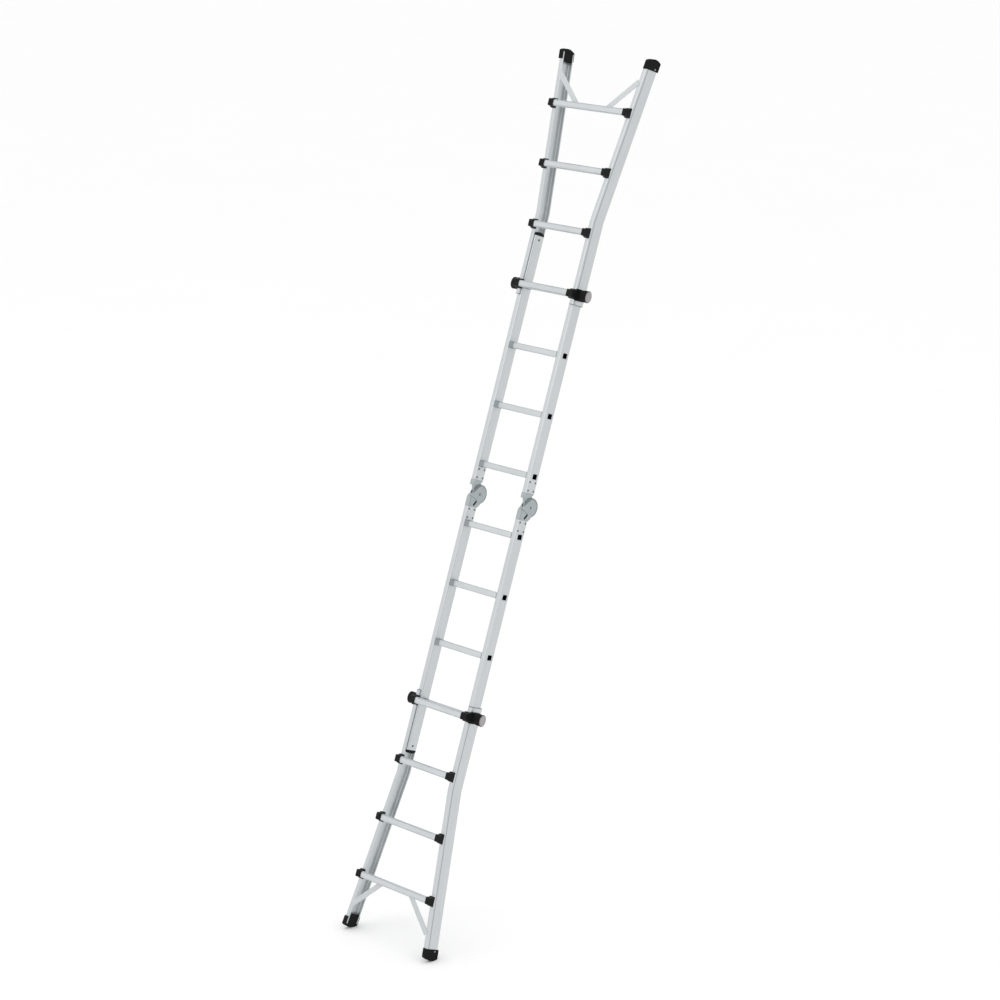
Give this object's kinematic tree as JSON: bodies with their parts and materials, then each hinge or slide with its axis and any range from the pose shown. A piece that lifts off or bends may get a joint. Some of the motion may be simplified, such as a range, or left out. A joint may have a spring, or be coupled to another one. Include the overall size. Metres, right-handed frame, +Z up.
{
  "type": "multi position ladder",
  "caption": "Telescopic multi position ladder: two flared sections slide over inner sections joined by locking hinges, shown straight and leaning.",
  "frame": {"origin": "floor under the middle of the leaning ladder's bounding box", "axes": "+Z up, +X to the ladder's right seen from the climbing side, the top leans towards +Y by 19.5 degrees from vertical"},
  "size_m": [0.5768, 1.4522, 3.9289],
  "materials": {
    "stile_aluminium": "satin extruded, drawn along the stile",
    "rung_aluminium": "satin extruded",
    "hinge_casting": "grey cast, fine grain",
    "black_plastic": "moulded, fine texture",
    "knob_plastic": "moulded grip with a pale end disc",
    "foot_rubber": "matt",
    "catch_steel": "blackened",
    "pin_steel": "plated"
  },
  "bodies": {
    "lower_outer": {"lower_bracket_2_left": "black_plastic", "lower_bracket_2_right": "black_plastic", "lower_bracket_3_left": "black_plastic", "lower_bracket_3_right": "black_plastic", "lower_bracket_4_left": "black_plastic", "lower_bracket_4_right": "black_plastic", "lower_foot_left": "foot_rubber", "lower_foot_right": "foot_rubber", "lower_lock_housing_left": "black_plastic", "lower_lock_housing_right": "black_plastic", "lower_outer_rung_1": "rung_aluminium", "lower_outer_rung_2": "rung_aluminium", "lower_outer_rung_3": "rung_aluminium", "lower_outer_rung_4": "rung_aluminium", "lower_outer_stile_left": "stile_aluminium", "lower_outer_stile_right": "stile_aluminium"},
    "lower_inner": {"hinge_lower_leaf_left": "hinge_casting", "hinge_lower_leaf_right": "hinge_casting", "hinge_pin_left": "pin_steel", "hinge_pin_right": "pin_steel", "lower_inner_rung_1": "rung_aluminium", "lower_inner_rung_2": "rung_aluminium", "lower_inner_rung_3": "rung_aluminium", "lower_inner_rung_4": "rung_aluminium", "lower_inner_stile_left": "stile_aluminium", "lower_inner_stile_right": "stile_aluminium", "lower_stile_plug_left": "black_plastic", "lower_stile_plug_right": "black_plastic"},
    "upper_inner": {"hinge_upper_leaf_left": "hinge_casting", "hinge_upper_leaf_right": "hinge_casting", "upper_inner_rung_1": "rung_aluminium", "upper_inner_rung_2": "rung_aluminium", "upper_inner_rung_3": "rung_aluminium", "upper_inner_rung_4": "rung_aluminium", "upper_inner_stile_left": "stile_aluminium", "upper_inner_stile_right": "stile_aluminium", "upper_stile_plug_left": "black_plastic", "upper_stile_plug_right": "black_plastic"},
    "upper_outer": {"upper_bracket_2_left": "black_plastic", "upper_bracket_2_right": "black_plastic", "upper_bracket_3_left": "black_plastic", "upper_bracket_3_right": "black_plastic", "upper_bracket_4_left": "black_plastic", "upper_bracket_4_right": "black_plastic", "upper_foot_left": "foot_rubber", "upper_foot_right": "foot_rubber", "upper_lock_housing_left": "black_plastic", "upper_lock_housing_right": "black_plastic", "upper_outer_rung_1": "rung_aluminium", "upper_outer_rung_2": "rung_aluminium", "upper_outer_rung_3": "rung_aluminium", "upper_outer_rung_4": "rung_aluminium", "upper_outer_stile_left": "stile_aluminium", "upper_outer_stile_right": "stile_aluminium"},
    "catch_left": {"hinge_catch_left": "catch_steel"},
    "catch_right": {"hinge_catch_right": "catch_steel"},
    "lower_lock_left": {"lower_lock_knob_left": "knob_plastic"},
    "lower_lock_right": {"lower_lock_knob_right": "knob_plastic"},
    "upper_lock_left": {"upper_lock_knob_left": "knob_plastic"},
    "upper_lock_right": {"upper_lock_knob_right": "knob_plastic"}
  },
  "joints": [
    {"name": "lower_telescope", "type": "slide", "parent": "lower_outer", "child": "lower_inner", "axis": [0, -0.3338, -0.9426], "range_m": [0, 0.84]},
    {"name": "fold", "type": "hinge", "parent": "lower_inner", "child": "upper_inner", "pos_m": [0, 0.02734, 1.95477], "axis": [-1, 0, 0], "range_deg": [0, 171]},
    {"name": "upper_telescope", "type": "slide", "parent": "upper_inner", "child": "upper_outer", "axis": [0, -0.3338, -0.9426], "range_m": [0, 0.84]},
    {"name": "lower_lock_left_push", "type": "slide", "parent": "lower_outer", "child": "lower_lock_left", "axis": [1, 0, 0], "range_m": [0, 0.022]},
    {"name": "lower_lock_right_push", "type": "slide", "parent": "lower_outer", "child": "lower_lock_right", "axis": [-1, 0, 0], "range_m": [0, 0.022]},
    {"name": "upper_lock_left_push", "type": "slide", "parent": "upper_outer", "child": "upper_lock_left", "axis": [1, 0, 0], "range_m": [0, 0.022]},
    {"name": "upper_lock_right_push", "type": "slide", "parent": "upper_outer", "child": "upper_lock_right", "axis": [-1, 0, 0], "range_m": [0, 0.022]},
    {"name": "catch_left_slide", "type": "slide", "parent": "lower_inner", "child": "catch_left", "axis": [0, -0.7764, -0.6303], "range_m": [0, 0.0105]},
    {"name": "catch_right_slide", "type": "slide", "parent": "lower_inner", "child": "catch_right", "axis": [0, -0.7764, -0.6303], "range_m": [0, 0.0105]}
  ]
}
